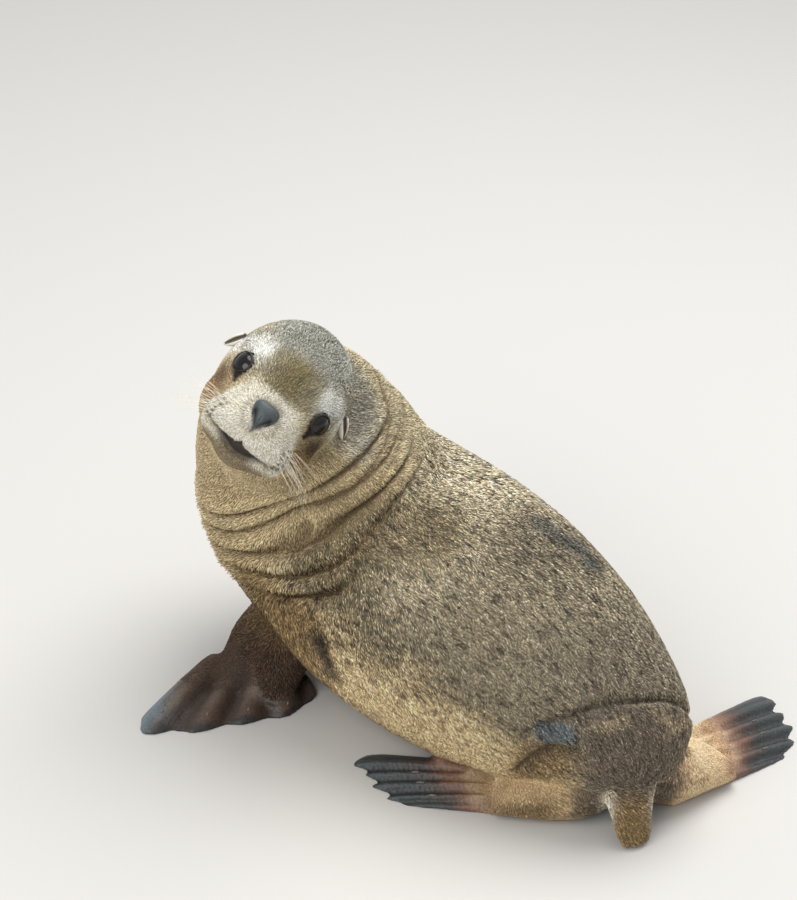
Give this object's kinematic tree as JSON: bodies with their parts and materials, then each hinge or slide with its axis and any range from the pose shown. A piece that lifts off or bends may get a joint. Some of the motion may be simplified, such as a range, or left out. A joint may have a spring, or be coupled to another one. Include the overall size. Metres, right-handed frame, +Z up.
{
  "type": "young sea lion",
  "caption": "Life-size young sea lion sitting on its belly with flippers spread, looking back over its left shoulder.",
  "frame": {"origin": "bottom centre of the bounding box, on the floor that the sea lion rests on", "axes": "+Z up; the tail points towards -Y and the belly lies towards +Y and -X; the head is on the -X side and its face looks towards -Y"},
  "size_m": [0.6798, 0.5544, 0.4354],
  "materials": {
    "fur_back": "short coarse fur, golden brown",
    "fur_throat": "short fur, creamy gold",
    "fur_head": "very short grizzled fur",
    "fur_tail": "short brown fur",
    "nose_skin": "bare slate-grey skin",
    "ear_skin": "thinly furred skin",
    "eye": "wet and glossy",
    "foreflipper_skin": "dark brown leathery skin",
    "hindflipper_skin": "brown skin, slate grey toes"
  },
  "bodies": {
    "root": {"trunk": "fur_back", "neck": "fur_throat", "head": "fur_head", "nose": "nose_skin", "ear_left": "ear_skin", "ear_right": "ear_skin", "eye_left": "eye", "eye_right": "eye", "foreflipper_left": "foreflipper_skin", "foreflipper_right": "foreflipper_skin", "hindflipper_left": "hindflipper_skin", "hindflipper_right": "hindflipper_skin", "tail": "fur_tail"}
  },
  "joints": []
}
